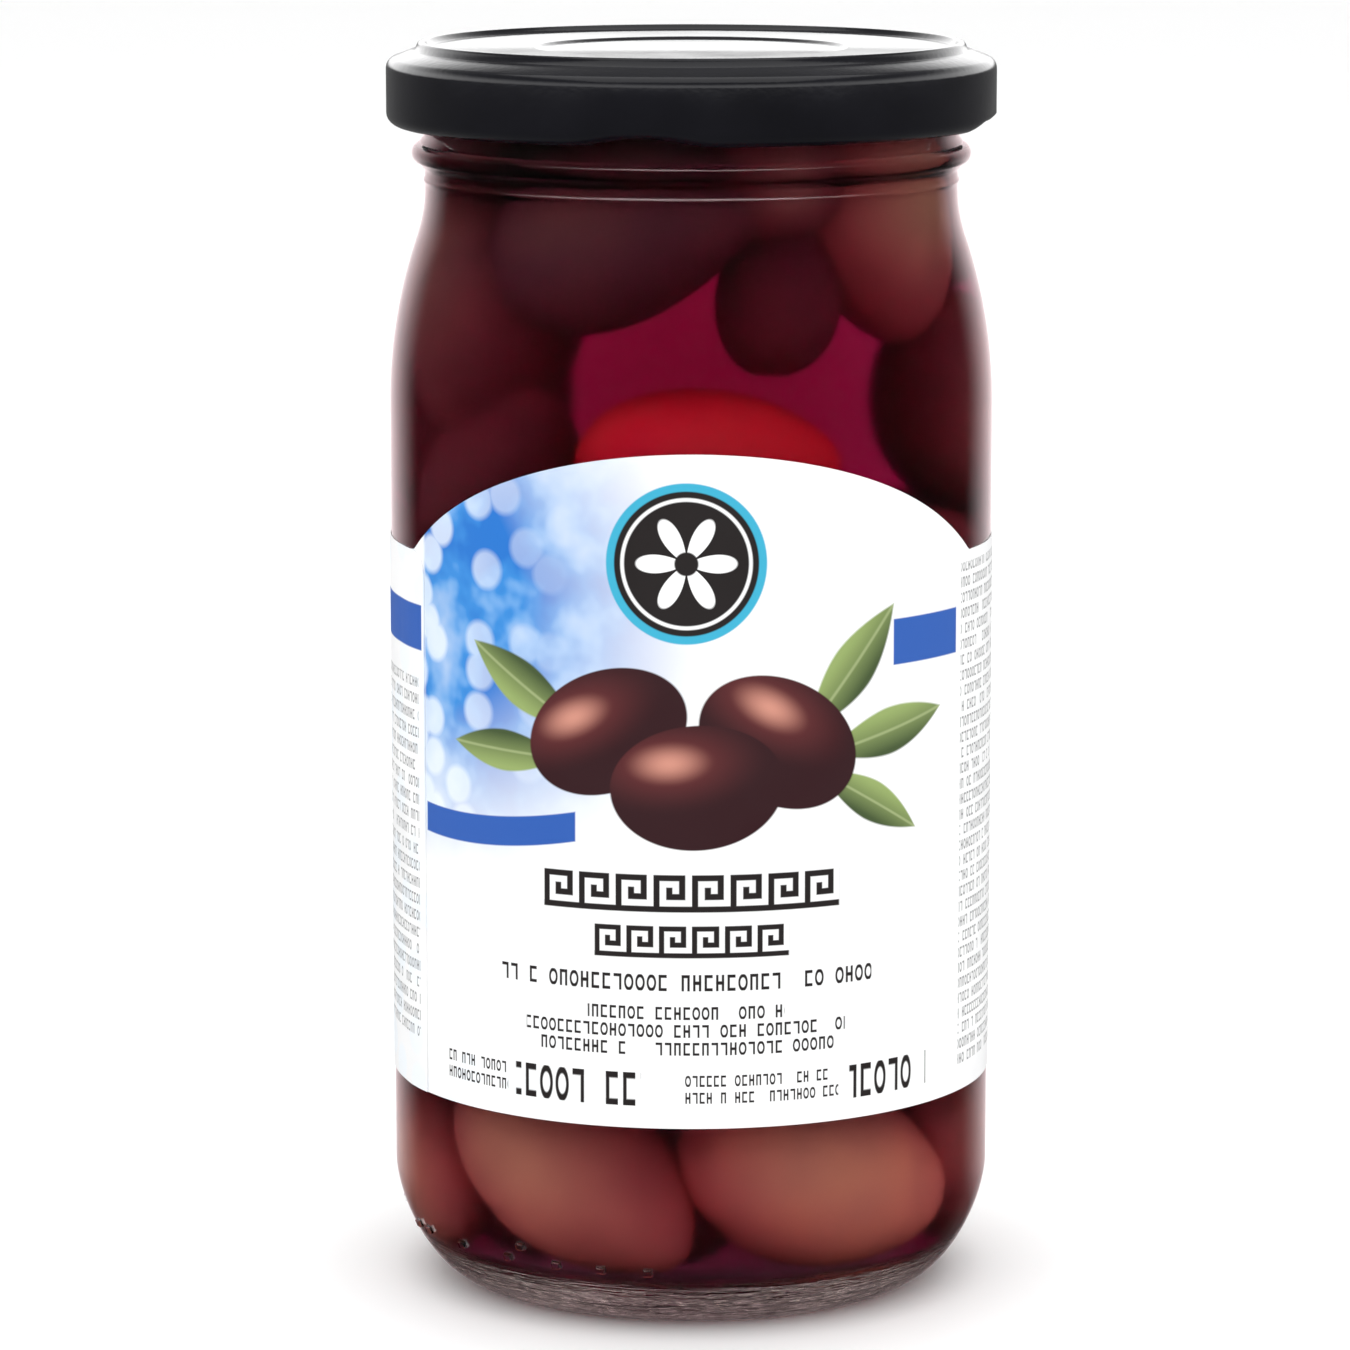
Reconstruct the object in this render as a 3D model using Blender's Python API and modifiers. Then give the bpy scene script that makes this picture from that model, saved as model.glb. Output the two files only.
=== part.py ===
"""A shut glass jar of dark olives in brine: a turned glass jar, a black twist-off lid,
a paper label wrapped once round the body, and the heap of olives inside.

Lengths are metres, +Z is up, and the origin is the middle of the foot the jar stands on.
The front of the label faces -Y. Angles round the jar start there and grow towards +X."""

import math
import random

import bmesh
import bpy
from mathutils import Matrix, Vector

MM = 0.001

# Driving sizes of the glass
BODY_R = 34.0 * MM
WALL = 2.2 * MM
HEEL_H = 12.8 * MM
HEEL_SOFTNESS = 1.25
FOOT_OUT_R = 26.2 * MM
FOOT_IN_R = 24.2 * MM
PUSH_UP = 2.2 * MM
FLOOR_Z = 4.6 * MM
FLOOR_R = 26.0 * MM
FLOOR_DOME = 0.7 * MM
INNER_HEEL_H = 8.6 * MM
SHOULDER_Z = 100.0 * MM
SHOULDER_TOP_Z = 124.5 * MM
SHOULDER_ARC = 58.0 * MM
NECK_R = 29.9 * MM
BEAD_R = 31.4 * MM
BEAD_Z = 128.3 * MM
BEAD_ROUND = 1.15 * MM
FINISH_R = 30.0 * MM
RIM_Z = 139.2 * MM
RIM_ROUND = 1.0 * MM
TURN_STEPS = 60

# Driving sizes of the lid
LID_R = 34.2 * MM
LID_TOP_Z = 140.7 * MM
LID_SHEET = 0.45 * MM
LID_LOW_Z = 131.3 * MM
CURL_WIDE = 1.8 * MM
CURL_HIGH = 1.5 * MM
RING_OUT_R = 30.7 * MM
RING_IN_R = 29.6 * MM
PANEL_DROP = 0.65 * MM
BUTTON_R = 17.0 * MM
BUTTON_DROP = 0.35 * MM
LEDGE_Z = 139.7 * MM
LEDGE_ROUND = 1.3 * MM
LUGS = 4
FIRST_LUG = math.radians(-9.5)
LUG_HALF_WIDTH = math.radians(15)
LUG_LIFT = 0.9 * MM
LUG_REACH = 0.5 * MM

# Driving sizes of the label, with angles round the jar
PAPER = 0.15 * MM
LABEL_GAP = 0.12 * MM
LABEL_LOW_Z = 24.0 * MM
LABEL_SIDE_Z = 85.3 * MM
ARCH_TOP_Z = 98.5 * MM
ARCH_HALF_WIDTH = 38.3 * MM
LABEL_START = math.radians(-66)
LABEL_END = math.radians(300)
FLAP_RISE_FROM = math.radians(273)
FLAP_RISE_TO = math.radians(288)
FLAP_CORNER = 3.0 * MM
LABEL_STEP = math.radians(6)

# Driving sizes of the olives
OLIVE_LENGTH = 25.0 * MM
OLIVE_WIDTH = 17.4 * MM
OLIVE_SPREAD = 0.07
OLIVE_POINT = 0.10
OLIVE_BELLY = 0.10
OLIVE_CLEAR = 0.5 * MM
CORE_R = 17.6 * MM
CORE_LOW_Z = 18.0 * MM
CORE_TOP_Z = 124.0 * MM
HIDDEN_R = 27.0 * MM
HIDDEN_LOW_Z = 38.0 * MM
HIDDEN_TOP_Z = 75.0 * MM
CORE_SIDES = 20
OLIVE_ROUND = 9
OLIVE_ALONG = 6
SEED = 11

# Rings of olives that rest on each other: height of the middle, how many, angle of the first one.
# Between the second and the third ring the label hides everything, so the core is wider there.
RINGS = (
    (13.6, 6, -36),
    (32.0, 6, 0),
    (81.0, 6, -31),
)

# Single olives: angle, height, tilt up from level, turn towards the middle, distance out
# from the jar's axis as a share of the way to the glass, and size. At the front and the back
# they leave a way through that shows the light behind the jar.
SINGLE_OLIVES = (
    (2, 15.5, 62, 0, 0.45, 1.0),
    (4, 94.8, 0, 12, 0.66, 1.0),
    (-68, 92.0, 60, 4, 0.8, 0.95),
    (95, 99.5, -72, -6, 1, 0.95),
    (-112, 98.5, -66, -5, 0.85, 1.0),
    (-76, 110.5, -86, 4, 1, 1.14),
    (-25, 120.2, 24, 10, 0.9, 1.14),
    (32, 114.0, 84, 0, 0.62, 0.64),
    (70, 120.0, -76, 0, 1, 1.0),
    (112, 119.5, -64, 6, 1, 1.0),
    (-116, 119.5, 64, 0, 1, 1.0),
    (31, 126.4, 4, 80, 0.66, 0.86),
    (155, 125.5, 6, 0, 1, 0.95),
    (-156, 125.0, -8, 0, 1, 0.95),
)


def around(angle, radius, z):
    """The point at an angle round the jar, a distance from its axis and a height."""
    return Vector((radius * math.sin(angle), -radius * math.cos(angle), z))


def arc(centre_r, centre_z, radius, start, end, steps):
    """Points of an arc in the turned profile, with angles in degrees from straight outwards."""
    angles = [math.radians(start + (end - start) * i / steps) for i in range(steps + 1)]
    return [(centre_r + radius * math.cos(a), centre_z + radius * math.sin(a)) for a in angles]


def shoulder(offset, steps_low, steps_high):
    """The shoulder from the neck down to the body: a hollow arc that runs into a full one.
    offset moves the line inwards, for the inner face."""
    drop, rise = BODY_R - NECK_R, SHOULDER_TOP_Z - SHOULDER_Z
    hollow_arc = (drop * drop + rise * rise) / (2 * drop) - SHOULDER_ARC
    low_r, high_r = BODY_R - SHOULDER_ARC, NECK_R + hollow_arc
    lean = math.degrees(math.atan2(rise, high_r - low_r))
    high = arc(high_r, SHOULDER_TOP_Z, hollow_arc + offset, 180, 180 + lean, steps_high)
    low = arc(low_r, SHOULDER_Z, SHOULDER_ARC - offset, lean, 0, steps_low)
    return high + low[1:]


def soft_corner(foot_r, foot_z, wall_r, height, softness, steps):
    """A rounded corner from a wall down to a foot, fuller than a chamfer and flatter than an arc."""
    points = []
    for i in range(steps + 1):
        t = math.pi / 2 * (1 - i / steps)
        out = (wall_r - foot_r) * math.sin(t) ** softness
        points.append((foot_r + out, foot_z + height * (1 - math.cos(t) ** softness)))
    return points


def glass_profile():
    """The jar's section from the middle of its floor, up the inside, over the rim and down outside."""
    inner_r = BODY_R - WALL
    inner_neck_r = NECK_R - WALL
    floor = [(0, FLOOR_Z + FLOOR_DOME), (FLOOR_R * 0.6, FLOOR_Z + FLOOR_DOME * 0.7)]
    inner_heel = soft_corner(FLOOR_R, FLOOR_Z, inner_r, INNER_HEEL_H, 1.0, 4)[::-1]
    inner_shoulder = shoulder(WALL, 3, 2)[::-1]
    rim = arc(inner_neck_r + RIM_ROUND, RIM_Z - RIM_ROUND, RIM_ROUND, 180, 90, 2)
    rim += arc(FINISH_R - RIM_ROUND, RIM_Z - RIM_ROUND, RIM_ROUND, 90, 0, 2)
    bead = arc(BEAD_R - BEAD_ROUND, BEAD_Z, BEAD_ROUND, 80, -80, 4)
    finish = [(FINISH_R, BEAD_Z + 1.6 * BEAD_ROUND), *bead, (NECK_R, BEAD_Z - 1.5 * BEAD_ROUND)]
    heel = soft_corner(FOOT_OUT_R, 0, BODY_R, HEEL_H, HEEL_SOFTNESS, 6)
    foot = [(FOOT_IN_R, 0), (FOOT_IN_R * 0.55, PUSH_UP * 0.8), (0, PUSH_UP)]
    return [*floor, *inner_heel, *inner_shoulder, *rim, *finish, *shoulder(0, 4, 3), *heel, *foot]


def lid_profile():
    """The lid's section from the middle of its top, down the skirt, round the curl and back inside."""
    panel_z = LID_TOP_Z - PANEL_DROP
    top = [
        (0, panel_z - BUTTON_DROP),
        (BUTTON_R, panel_z - BUTTON_DROP),
        (BUTTON_R + 2 * BUTTON_DROP, panel_z),
        (RING_IN_R - PANEL_DROP, panel_z),
        (RING_IN_R, LID_TOP_Z),
        (RING_OUT_R, LID_TOP_Z),
        (RING_OUT_R + 0.5 * (LID_TOP_Z - LEDGE_Z), LEDGE_Z),
    ]
    corner = arc(LID_R - LEDGE_ROUND, LEDGE_Z - 1.5 * LEDGE_ROUND, LEDGE_ROUND, 60, 0, 3)
    curl = [(LID_R - CURL_WIDE * (1 - r), LID_LOW_Z + CURL_HIGH * (1 + z)) for r, z in arc(0, 0, 1, 0, -180, 5)]
    skirt_in_r = LID_R - LID_SHEET
    inside = [
        (skirt_in_r - CURL_WIDE / 2, LID_LOW_Z + 2 * CURL_HIGH),
        (skirt_in_r, LID_LOW_Z + 2.4 * CURL_HIGH),
        (skirt_in_r, LEDGE_Z - 1.6 * LEDGE_ROUND),
        (RING_OUT_R, LEDGE_Z - LID_SHEET),
        (RING_OUT_R - LID_SHEET, LID_TOP_Z - LID_SHEET),
        (RING_IN_R, LID_TOP_Z - LID_SHEET),
        (RING_IN_R - PANEL_DROP, panel_z - LID_SHEET),
        (BUTTON_R + 2 * BUTTON_DROP, panel_z - LID_SHEET),
        (BUTTON_R, panel_z - BUTTON_DROP - LID_SHEET),
        (0, panel_z - BUTTON_DROP - LID_SHEET),
    ]
    return top + corner + curl + inside


def material(name, colour, roughness, metallic=0.0, transmission=0.0):
    made = bpy.data.materials.new(name)
    made.use_nodes = True
    shader = made.node_tree.nodes["Principled BSDF"]
    shader.inputs["Base Color"].default_value = (*colour, 1.0)
    shader.inputs["Roughness"].default_value = roughness
    shader.inputs["Metallic"].default_value = metallic
    shader.inputs["Transmission Weight"].default_value = transmission
    return made


def put(name, mesh, finish, collection):
    """A named object for a mesh, smooth where it is round, with its material."""
    made = bpy.data.objects.new(name, mesh)
    mesh.shade_smooth()
    mesh.set_sharp_from_angle(angle=math.radians(35))
    mesh.materials.append(finish)
    collection.objects.link(made)
    return made


def evaluated_mesh(obj):
    """The object's mesh with its modifiers applied."""
    graph = bpy.context.evaluated_depsgraph_get()
    graph.update()
    return bpy.data.meshes.new_from_object(obj.evaluated_get(graph))


def turned(name, profile, finish, collection):
    """A profile in the XZ plane, turned once round the jar's axis."""
    mesh = bpy.data.meshes.new(name)
    points = [(r, 0, z) for r, z in profile]
    mesh.from_pydata(points, [(i, i + 1) for i in range(len(points) - 1)], [])
    made = put(name, mesh, finish, collection)
    screw = made.modifiers.new("turn", "SCREW")
    screw.steps = TURN_STEPS
    screw.render_steps = TURN_STEPS
    screw.use_merge_vertices = True
    screw.merge_threshold = 1e-6
    return made


def lug_share(angle):
    """1 in the middle of a lug of the lid, and 0 between the lugs."""
    spacing = 2 * math.pi / LUGS
    off = (angle - FIRST_LUG + spacing / 2) % spacing - spacing / 2
    if abs(off) >= LUG_HALF_WIDTH:
        return 0.0
    return math.cos(math.pi / 2 * off / LUG_HALF_WIDTH) ** 2


def build_lid(collection, finish):
    """The lid: a turned pressing whose curled edge is pushed up and in at each lug."""
    spun = turned("lid_blank", lid_profile(), finish, collection)
    mesh = evaluated_mesh(spun)
    bpy.data.objects.remove(spun)
    edge_z = LID_LOW_Z + CURL_HIGH
    for vertex in mesh.vertices:
        x, y, z = vertex.co
        if z > edge_z:
            continue
        angle = math.atan2(x, -y)
        share = lug_share(angle)
        radius = math.hypot(x, y)
        low = (edge_z - z) / CURL_HIGH
        vertex.co = around(angle, radius - share * LUG_REACH * low, z + share * LUG_LIFT * low)
    return put("lid", mesh, finish, collection)


def label_top(angle):
    """The label's upper edge: an arch at the front, level behind, one round corner at the flap's end."""
    along = angle * BODY_R
    if abs(along) < ARCH_HALF_WIDTH:
        rise = ARCH_TOP_Z - LABEL_SIDE_Z
        arch_r = (ARCH_HALF_WIDTH**2 + rise**2) / (2 * rise)
        return ARCH_TOP_Z - arch_r + math.sqrt(arch_r**2 - along**2)
    to_end = (LABEL_END - angle) * BODY_R
    if to_end >= FLAP_CORNER:
        return LABEL_SIDE_Z
    return LABEL_SIDE_Z - FLAP_CORNER + math.sqrt(FLAP_CORNER**2 - (FLAP_CORNER - to_end) ** 2)


def label_radius(angle):
    """Where the label's inner face lies: on the glass, and over its own start at the flap."""
    rise = (angle - FLAP_RISE_FROM) / (FLAP_RISE_TO - FLAP_RISE_FROM)
    rise = min(max(rise, 0.0), 1.0)
    return BODY_R + LABEL_GAP + rise * (PAPER + LABEL_GAP)


def build_label(collection, finish):
    """One strip of paper from its hidden start round to the flap that laps over it."""
    whole = int((LABEL_END - FLAP_CORNER / BODY_R - LABEL_START) / LABEL_STEP)
    angles = [LABEL_START + i * LABEL_STEP for i in range(whole + 1)]
    corner_start = LABEL_END - FLAP_CORNER / BODY_R
    angles += [corner_start + (LABEL_END - corner_start) * s for s in (0.0, 0.5, 0.85, 1.0)]
    columns = len(angles) - 1
    sheet = bmesh.new()
    bmesh.ops.create_grid(sheet, x_segments=columns, y_segments=1, size=0.5)
    for vertex in sheet.verts:
        angle = angles[round((vertex.co.x + 0.5) * columns)]
        share = vertex.co.y + 0.5
        z = LABEL_LOW_Z + share * (label_top(angle) - LABEL_LOW_Z)
        vertex.co = around(angle, label_radius(angle), z)
    mesh = bpy.data.meshes.new("label")
    sheet.to_mesh(mesh)
    sheet.free()
    made = put("label", mesh, finish, collection)
    paper = made.modifiers.new("paper", "SOLIDIFY")
    paper.thickness = PAPER
    paper.offset = 1.0
    return made


def olive_shape(blank, length, width):
    """Turns a unit ball into an olive along X: fuller behind its middle and drawn out to a point."""
    for vertex in blank.verts:
        x, y, z = vertex.co
        full = 1 - OLIVE_BELLY * x
        tip = OLIVE_POINT * max(x, 0.0) ** 6
        vertex.co = Vector(((x + tip) * length / 2, y * full * width / 2, z * full * width / 2))


def wall_radius(z):
    """Distance from the axis to the glass's inner face at a height."""
    line = [(FLOOR_R, FLOOR_Z), *soft_corner(FLOOR_R, FLOOR_Z, BODY_R - WALL, INNER_HEEL_H, 1.0, 12)[::-1]]
    line += shoulder(WALL, 12, 8)[::-1]
    line += [(NECK_R - WALL, RIM_Z)]
    for (low_r, low_z), (high_r, high_z) in zip(line, line[1:]):
        if low_z <= z <= high_z and high_z > low_z:
            return low_r + (high_r - low_r) * (z - low_z) / (high_z - low_z)
    return FLOOR_R


def olive_at(place, name, collection):
    """One olive at an angle and height: against the glass at full reach, on the axis at none."""
    angle, z, tilt, turn, reach, size = place
    ball = bmesh.new()
    bmesh.ops.create_uvsphere(ball, u_segments=OLIVE_ROUND, v_segments=OLIVE_ALONG, radius=1.0)
    bmesh.ops.rotate(ball, verts=ball.verts, matrix=Matrix.Rotation(math.radians(90), 3, "Y"))
    olive_shape(ball, OLIVE_LENGTH * size, OLIVE_WIDTH * size)
    lean = Matrix.Rotation(turn, 3, "Z") @ Matrix.Rotation(-tilt, 3, "Y")
    face = Matrix.Rotation(angle, 3, "Z")
    out = around(angle, 1.0, 0.0)
    centre_r = reach * (wall_radius(z) - OLIVE_WIDTH * size / 2)
    for vertex in ball.verts:
        vertex.co = face @ lean @ vertex.co + out * centre_r + Vector((0, 0, z))
    excess = max(math.hypot(v.co.x, v.co.y) - wall_radius(v.co.z) for v in ball.verts)
    snug = -(excess + OLIVE_CLEAR)
    shift = out * (snug if reach == 1 else min(snug, 0.0))
    lowest = min(v.co.z for v in ball.verts)
    lift = max(0.0, FLOOR_Z + FLOOR_DOME + OLIVE_CLEAR - lowest)
    for vertex in ball.verts:
        vertex.co += shift + Vector((0, 0, lift))
    mesh = bpy.data.meshes.new(name)
    ball.to_mesh(mesh)
    ball.free()
    made = bpy.data.objects.new(name, mesh)
    collection.objects.link(made)
    return made


def olive_places():
    """Angle, height, tilt, turn, reach and size of every olive: the rings by rule, then the single ones."""
    draw = random.Random(SEED)
    places = []
    for height, count, first in RINGS:
        for i in range(count):
            angle = math.radians(first + i * 360 / count + draw.uniform(-2, 2))
            tilt = math.radians(-22 + draw.uniform(-10, 10))
            turn = math.radians(draw.uniform(-8, 8))
            z = (height + draw.uniform(-0.5, 0.5)) * MM
            places.append((angle, z, tilt, turn, 1, 1 + draw.uniform(-1, 1) * OLIVE_SPREAD))
    for angle, height, tilt, turn, reach, size in SINGLE_OLIVES:
        lean = math.radians(tilt), math.radians(turn)
        places.append((math.radians(angle), height * MM, *lean, reach, size))
    return places


def core_cylinder(name, radius, low_z, top_z, collection):
    """A plain upright cylinder on the jar's axis."""
    blank = bmesh.new()
    middle = Matrix.Translation((0, 0, (low_z + top_z) / 2))
    bmesh.ops.create_cone(
        blank,
        cap_ends=True,
        segments=CORE_SIDES,
        radius1=radius,
        radius2=radius,
        depth=top_z - low_z,
        matrix=middle,
    )
    mesh = bpy.data.meshes.new(name)
    blank.to_mesh(mesh)
    blank.free()
    made = bpy.data.objects.new(name, mesh)
    collection.objects.link(made)
    return made


def build_olives(collection, finish):
    """The heap of olives as one solid: a core with an olive fused on at every place."""
    pieces = bpy.data.collections.new("olive_pieces")
    bpy.context.scene.collection.children.link(pieces)
    for i, place in enumerate(olive_places()):
        olive_at(place, f"olive_{i:02d}", pieces)
    core_cylinder("hidden_middle", HIDDEN_R, HIDDEN_LOW_Z, HIDDEN_TOP_Z, pieces)
    core = core_cylinder("core", CORE_R, CORE_LOW_Z, CORE_TOP_Z, collection)
    fuse = core.modifiers.new("fuse", "BOOLEAN")
    fuse.operation = "UNION"
    fuse.operand_type = "COLLECTION"
    fuse.collection = pieces
    fuse.solver = "EXACT"
    mesh = evaluated_mesh(core)
    bpy.data.objects.remove(core)
    for piece in list(pieces.objects):
        bpy.data.objects.remove(piece)
    bpy.data.collections.remove(pieces)
    return put("olives", mesh, finish, collection)


def main():
    for old in list(bpy.data.objects):
        bpy.data.objects.remove(old)
    jar = bpy.data.collections.new("jar_of_olives")
    bpy.context.scene.collection.children.link(jar)
    glass = material("clear_glass", (0.95, 0.97, 0.96), 0.03, transmission=1.0)
    enamel = material("black_enamel", (0.012, 0.012, 0.014), 0.25)
    paper = material("label_paper", (0.93, 0.93, 0.92), 0.45)
    olive_skin = material("olive_skin", (0.075, 0.018, 0.022), 0.3)
    turned("glass_jar", glass_profile(), glass, jar)
    build_lid(jar, enamel)
    build_label(jar, paper)
    build_olives(jar, olive_skin)


main()
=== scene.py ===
"""Looks for the jar of olives: clear glass, olives in dark brine, black twist-off lid, printed label.

Lengths are metres unless a name ends in _mm. The label's front faces -Y, and angles round the jar
start there and grow towards +X."""

import bisect
import math
import random
import bmesh
import bpy
from mathutils import Matrix, Vector, noise


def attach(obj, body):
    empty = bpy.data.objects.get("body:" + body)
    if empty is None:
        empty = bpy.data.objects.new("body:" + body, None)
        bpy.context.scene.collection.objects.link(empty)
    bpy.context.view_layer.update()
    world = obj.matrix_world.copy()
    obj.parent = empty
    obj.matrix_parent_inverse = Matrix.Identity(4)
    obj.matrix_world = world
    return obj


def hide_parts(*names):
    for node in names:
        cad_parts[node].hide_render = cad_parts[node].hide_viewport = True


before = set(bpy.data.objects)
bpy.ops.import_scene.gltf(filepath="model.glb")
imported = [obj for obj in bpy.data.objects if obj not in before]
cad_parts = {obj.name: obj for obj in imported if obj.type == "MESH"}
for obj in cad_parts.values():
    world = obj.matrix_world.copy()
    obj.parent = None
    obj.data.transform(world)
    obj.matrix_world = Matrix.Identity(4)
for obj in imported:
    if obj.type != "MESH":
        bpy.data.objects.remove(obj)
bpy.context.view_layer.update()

MM = 0.001

# Glass
BODY_R = 34.0 * MM
WALL = 2.2 * MM
HEEL_H = 12.8 * MM
HEEL_SOFTNESS = 1.25
FOOT_OUT_R = 26.2 * MM
FOOT_IN_R = 24.2 * MM
PUSH_UP = 2.2 * MM
FLOOR_Z = 4.6 * MM
FLOOR_R = 26.0 * MM
FLOOR_DOME = 0.7 * MM
INNER_HEEL_H = 8.6 * MM
SHOULDER_Z = 100.0 * MM
SHOULDER_TOP_Z = 124.5 * MM
SHOULDER_ARC = 58.0 * MM
NECK_R = 29.9 * MM
BEAD_R = 31.4 * MM
BEAD_Z = 128.3 * MM
BEAD_ROUND = 1.15 * MM
SEAM_RING_Z = 125.3 * MM
FINISH_R = 30.0 * MM
RIM_Z = 139.2 * MM
RIM_ROUND = 1.0 * MM
GLASS_STEPS = 192
RIM_STEPS = 5
BEAD_STEPS = 10
ROOT_ROUND = 0.5 * MM
SEAM_RING_SUNK = 0.12 * MM
SEAM_RING_ROUND = 0.3 * MM
FOOT_RISE = 0.1 * MM
FOOT_RINGS = 9
FIRST_RING_Z = 0.5 * MM
RING_DEEP = 0.6 * MM
BRINE_FACES_FROM_Z = 2.5 * MM
BRINE_FACES_REACH = 0.3 * MM

# Dots cast on the heel, each an angle in degrees and a height in millimetres
HEEL_DOTS = (
    (-90, 7.4), (-70, 7.4), (-65, 7.4), (-51, 7.4), (-39, 7.4), (-35, 9.6), (-28, 7.4), (-18, 7.4),
    (-9, 7.4), (-103, 7.4), (-110, 7.4), (-129, 7.4), (-141, 9.6), (-148, 7.4),
)
DOTS_R = 32.4 * MM
DOT_INSET = 0.16
DOT_RISE = 0.5 * MM

# Lid
LID_R = 34.2 * MM
LID_TOP_Z = 140.7 * MM
LID_SHEET = 0.45 * MM
LID_LOW_Z = 131.3 * MM
CURL_WIDE = 1.8 * MM
CURL_HIGH = 1.5 * MM
RING_OUT_R = 30.7 * MM
RING_IN_R = 29.6 * MM
PANEL_DROP = 0.65 * MM
BUTTON_R = 17.0 * MM
BUTTON_DROP = 0.35 * MM
LEDGE_Z = 139.7 * MM
LEDGE_ROUND = 1.3 * MM
LEDGE_START = 0.25 * MM
LEDGE_FLAT = 0.7 * MM
RING_BEND = 0.4 * MM
LUGS = 4
FIRST_LUG = math.radians(-9.5)
LUG_HALF_WIDTH = math.radians(15)
LUG_LIFT = 0.9 * MM
LUG_REACH = 0.5 * MM
LID_STEPS = 240

# Label
PAPER = 0.12 * MM
PAPER_OFF_GLASS = 0.03 * MM
FLAP_OFF_PAPER = 0.02 * MM
PAPER_RIPPLE = 0.05 * MM
LABEL_COLUMNS = 420
LABEL_ROWS = 24
LABEL_R_MM = 34.1
LABEL_LOW_Z = 24.0 * MM
LABEL_SIDE_Z = 85.3 * MM
ARCH_TOP_Z = 98.5 * MM
ARCH_HALF_WIDTH = 38.3 * MM
LABEL_START = math.radians(-66)
LABEL_END = math.radians(300)
FLAP_RISE_FROM = math.radians(288)
FLAP_RISE_TO = math.radians(293)
FLAP_CORNER = 3.0 * MM

# Brine and olives
BRINE_INTO_WALL = 0.12 * MM
BRINE_TOP_Z = 135.5 * MM
OLIVE_LENGTH = 25.0 * MM
OLIVE_WIDTH = 17.4 * MM
OLIVE_POINT = 0.10
OLIVE_BELLY = 0.10
OLIVE_BEND = 0.05
OLIVE_SCAR = 0.05
OLIVE_DENTS = 0.025
OLIVE_FINE_DENTS = 0.006
OLIVE_SIDES = 36
OLIVE_RINGS = 24
OLIVE_CLEAR = 0.4 * MM
CORE_LOW_Z = 38.0 * MM
CORE_TOP_Z = 75.0 * MM
CORE_R = 27.0 * MM
CORE_ROUND = 4.0 * MM
CORE_STEPS = 64
SEED = 11

# Every olive: angle, height in millimetres, tilt up from level, turn towards the middle,
# reach towards the glass, size, and how light its skin is, where 1.25 and up is a red that stands in for the
# crimson glow of light through the brine, a painted glow
OLIVES = (
    # The first six olives, the lowest ring against the glass, are lighter than the rest, partly because
    # olives differ and partly as painted light standing in for the light that reaches them
    (-37, 12.4, -34, 4, 1, 1.12, 0.72),
    (38, 12.4, -20, -4, 1, 1.16, 0.88),
    (98, 14.4, -30, 5, 1, 1.0, 0.6),
    (149, 14.2, -24, -3, 1, 1.03, 0.8),
    (-152, 14.4, -16, 6, 1, 1.02, 0.5),
    (-95, 14.4, -28, 2, 1, 1.0, 0.75),
    (2, 15.5, 62, 0, 0.45, 1.0, 0.15),
    (-66, 17.0, 70, 0, 0.62, 0.95, 0.2),
    (72, 17.0, 70, 0, 0.6, 0.95, 0.2),
    (180, 16.0, 40, 0, 0.4, 1.0, 0.3),
    (0, 32.0, -18, 4, 1, 1.0, 0.5),
    (60, 32.2, -25, -5, 1, 1.02, 0.4),
    (120, 31.8, -20, 2, 1, 0.97, 0.6),
    (180, 32.0, -28, 6, 1, 1.0, 0.5),
    (-120, 32.3, -16, -4, 1, 1.03, 0.6),
    (-60, 31.8, -22, 0, 1, 0.98, 0.3),
    (-31, 81.0, -18, 3, 1, 1.0, 0.3),
    (29, 81.3, -24, -4, 1, 1.0, 0.3),
    (89, 79.8, -20, 2, 0.86, 1.0, 0.3),
    (149, 79.2, -26, 5, 1, 1.0, 0.35),
    (-151, 79.9, -16, -5, 1, 1.0, 0.3),
    (-91, 79.5, -22, 0, 0.86, 1.0, 0.25),
    # This olive's red skin is a painted glow that stands in for light through the brine
    (4, 94.8, 0, 12, 0.66, 1.0, 1.3),
    (-68, 92.0, 60, 4, 0.8, 0.95, 0.2),
    (95, 99.5, -72, -6, 1, 0.95, 0.35),
    (-112, 98.5, -66, -5, 0.85, 1.0, 0.25),
    (-76, 110.5, -86, 4, 1, 1.14, 0.26),
    (-25, 120.2, 24, 10, 0.9, 1.14, 0.06),
    (33, 112.8, 84, 0, 0.62, 0.69, 0.12),
    (70, 120.0, -76, 0, 1, 1.0, 0.6),
    (112, 119.5, -64, 6, 1, 1.0, 0.3),
    (-116, 119.5, 64, 0, 1, 1.0, 0.2),
    (31, 126.4, 4, 80, 0.66, 0.86, 0.25),
    (155, 125.5, 6, 0, 1, 0.95, 0.3),
    (-156, 125.0, -8, 0, 1, 0.95, 0.25),
)

# Glass and brine as materials
GLASS_IOR = 1.5
BRINE_IOR = 1.34
BRINE_FACE_ROUGHNESS = 0.3
CLEAR_FLINT = (0.97, 0.985, 0.98)
# The brown and dark colours the glass takes at its foot are painted shade: they dim the light through the
# heel and into the brine
OUTER_FOOT_SHADE = (0.90, 0.79, 0.71)
INNER_FOOT_SHADE = (0.45, 0.32, 0.27)
FOOT_STREAKS_AND_SHADE_FROM_Z = 6.8 * MM
FOOT_STREAKS_AND_SHADE_FULL_Z = 4.5 * MM
STREAK_STRETCH = (0.06, 0.06, 1.0)
BRINE_COLOUR = (0.758, 0.10, 0.475)
BRINE_DENSITY = 120.0

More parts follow.
